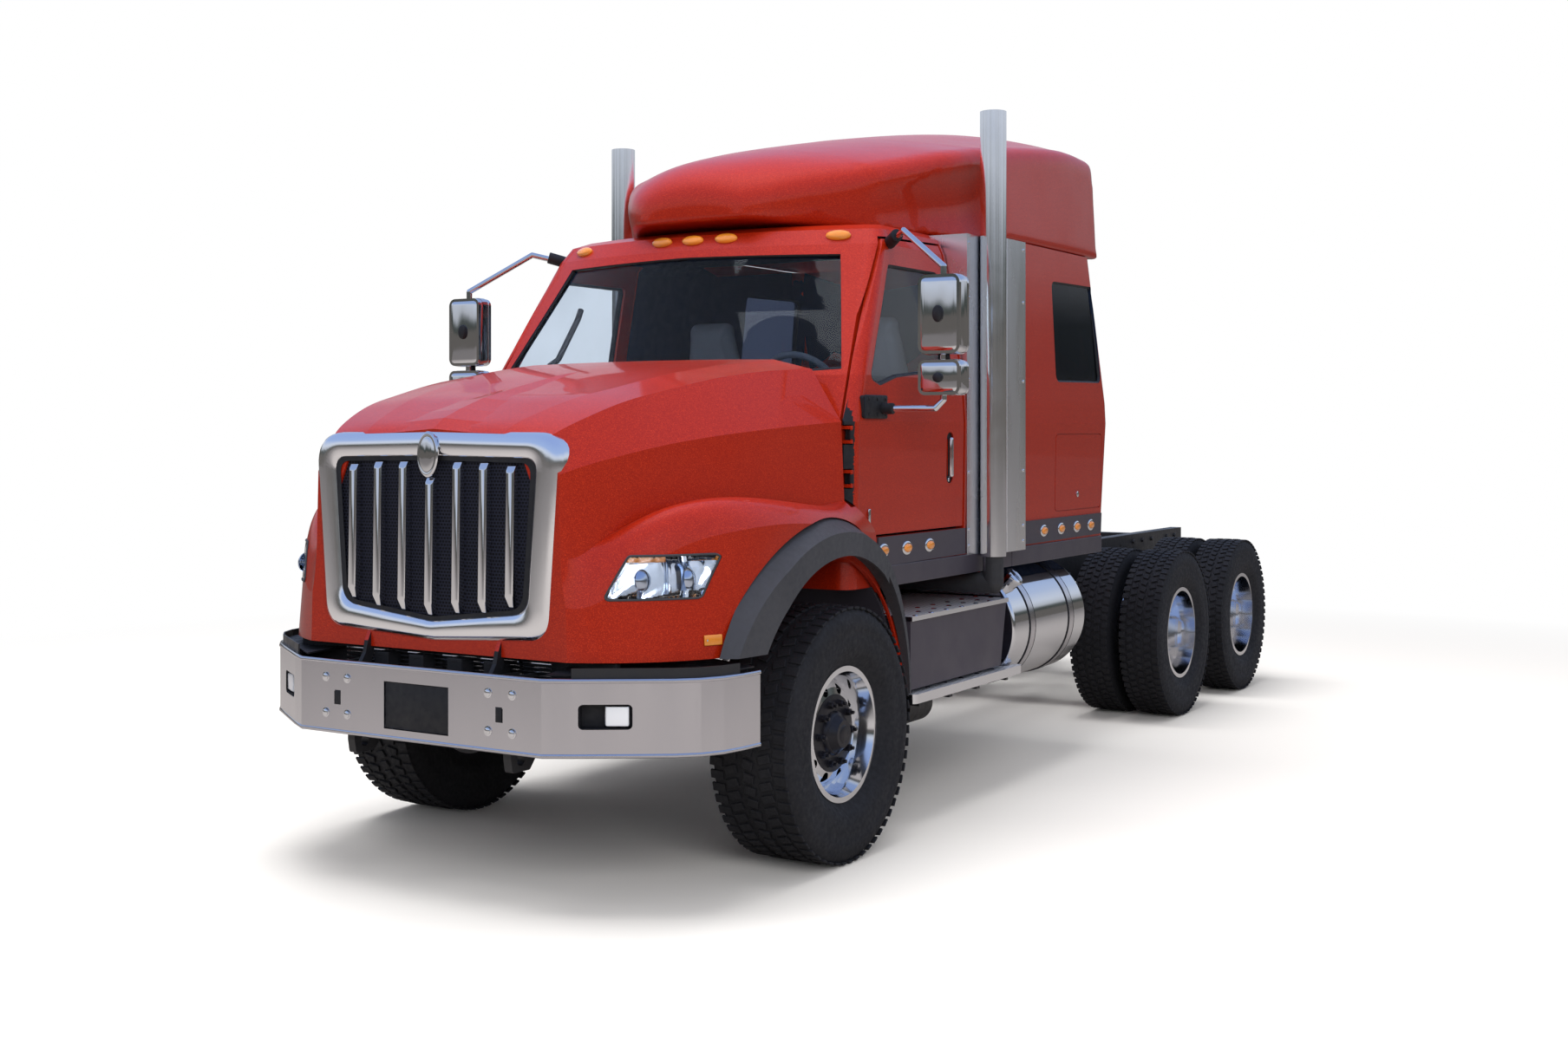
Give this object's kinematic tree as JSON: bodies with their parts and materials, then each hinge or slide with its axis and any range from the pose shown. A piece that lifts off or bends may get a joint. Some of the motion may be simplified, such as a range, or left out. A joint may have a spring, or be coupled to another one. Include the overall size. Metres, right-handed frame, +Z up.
{
  "type": "semi truck tractor unit with sleeper cab",
  "caption": "Long-nose semi truck tractor with a tilting hood, opening doors, steered front wheels, tandem twin drive wheels, sleeper cab with high roof and upright exhaust stacks.",
  "frame": {"origin": "on the ground under the middle of the truck's length and width", "axes": "+Z up, -Y towards the nose, +X towards the truck's left side"},
  "size_m": [3.054, 8.255, 3.7244],
  "materials": {
    "red_paint": "gloss metallic",
    "stainless": "brushed and polished",
    "chrome": "mirror",
    "aluminium": "polished",
    "frame_black": "satin black",
    "dark_metal": "painted dark",
    "dark_panel": "satin",
    "black_plastic": "grained",
    "grey_trim": "grained",
    "seat_fabric": "woven",
    "dark_glass": "tinted",
    "lamp_glass": "clear",
    "amber": "lens",
    "tyre": "matte"
  },
  "bodies": {
    "chassis": {"frame": "frame_black", "bumper": "stainless", "bumper_mounts": "frame_black", "radiator": "dark_metal", "engine": "dark_metal", "cab": "red_paint", "glazing": "dark_glass", "sleeper": "red_paint", "roof_fairing": "red_paint", "dash": "grey_trim", "seats": "seat_fabric", "exhaust_stacks": "chrome", "heat_shields": "stainless", "fuel_tanks": "aluminium", "tank_straps": "stainless", "step_boxes": "dark_panel", "step_treads": "aluminium", "step_brackets": "frame_black", "sill_trim": "dark_panel", "marker_lamps": "amber", "front_axle": "dark_metal", "drive_axles": "dark_metal", "suspension": "dark_metal"},
    "hood": {"hood": "red_paint", "fender_flares": "black_plastic", "grille_surround": "chrome", "grille_mesh": "black_plastic", "grille_bars": "chrome", "headlamps": "lamp_glass"},
    "left_door": {"door_left": "red_paint", "door_glass_left": "dark_glass", "mirror_left": "chrome"},
    "right_door": {"door_right": "red_paint", "door_glass_right": "dark_glass", "mirror_right": "chrome"},
    "left_knuckle": {"knuckle_left": "dark_metal"},
    "right_knuckle": {"knuckle_right": "dark_metal"},
    "front_left_wheel": {"tyre_front_left": "tyre", "wheel_front_left": "aluminium"},
    "front_right_wheel": {"tyre_front_right": "tyre", "wheel_front_right": "aluminium"},
    "drive_front_left": {"tyres_drive_front_left": "tyre", "wheels_drive_front_left": "aluminium"},
    "drive_front_right": {"tyres_drive_front_right": "tyre", "wheels_drive_front_right": "aluminium"},
    "drive_rear_left": {"tyres_drive_rear_left": "tyre", "wheels_drive_rear_left": "aluminium"},
    "drive_rear_right": {"tyres_drive_rear_right": "tyre", "wheels_drive_rear_right": "aluminium"}
  },
  "joints": [
    {"name": "hood_tilt", "type": "hinge", "parent": "chassis", "child": "hood", "pos_m": [0, -4.0525, 0.9], "axis": [1, 0, 0], "range_deg": [0, 60]},
    {"name": "left_door_hinge", "type": "hinge", "parent": "chassis", "child": "left_door", "pos_m": [1.1, -2.4685, 1.9], "axis": [0, 0, -1], "range_deg": [0, 70]},
    {"name": "right_door_hinge", "type": "hinge", "parent": "chassis", "child": "right_door", "pos_m": [-1.1, -2.4685, 1.9], "axis": [0, 0, 1], "range_deg": [0, 70]},
    {"name": "left_steering", "type": "hinge", "parent": "chassis", "child": "left_knuckle", "pos_m": [0.92, -2.7225, 0.562], "axis": [0, 0, 1], "range_deg": [-32, 32]},
    {"name": "right_steering", "type": "hinge", "parent": "chassis", "child": "right_knuckle", "pos_m": [-0.92, -2.7225, 0.562], "axis": [0, 0, 1], "range_deg": [-32, 32]},
    {"name": "front_left_roll", "type": "hinge", "parent": "left_knuckle", "child": "front_left_wheel", "pos_m": [1.055, -2.7225, 0.562], "axis": [1, 0, 0], "continuous": true},
    {"name": "front_right_roll", "type": "hinge", "parent": "right_knuckle", "child": "front_right_wheel", "pos_m": [-1.055, -2.7225, 0.562], "axis": [1, 0, 0], "continuous": true},
    {"name": "drive_front_left_roll", "type": "hinge", "parent": "chassis", "child": "drive_front_left", "pos_m": [0.9, 1.8995, 0.547], "axis": [1, 0, 0], "continuous": true},
    {"name": "drive_front_right_roll", "type": "hinge", "parent": "chassis", "child": "drive_front_right", "pos_m": [-0.9, 1.8995, 0.547], "axis": [1, 0, 0], "continuous": true},
    {"name": "drive_rear_left_roll", "type": "hinge", "parent": "chassis", "child": "drive_rear_left", "pos_m": [0.9, 3.2455, 0.547], "axis": [1, 0, 0], "continuous": true},
    {"name": "drive_rear_right_roll", "type": "hinge", "parent": "chassis", "child": "drive_rear_right", "pos_m": [-0.9, 3.2455, 0.547], "axis": [1, 0, 0], "continuous": true}
  ],
  "couplings": [
    {"joint": "right_steering", "follows": "left_steering", "ratio": 1}
  ]
}
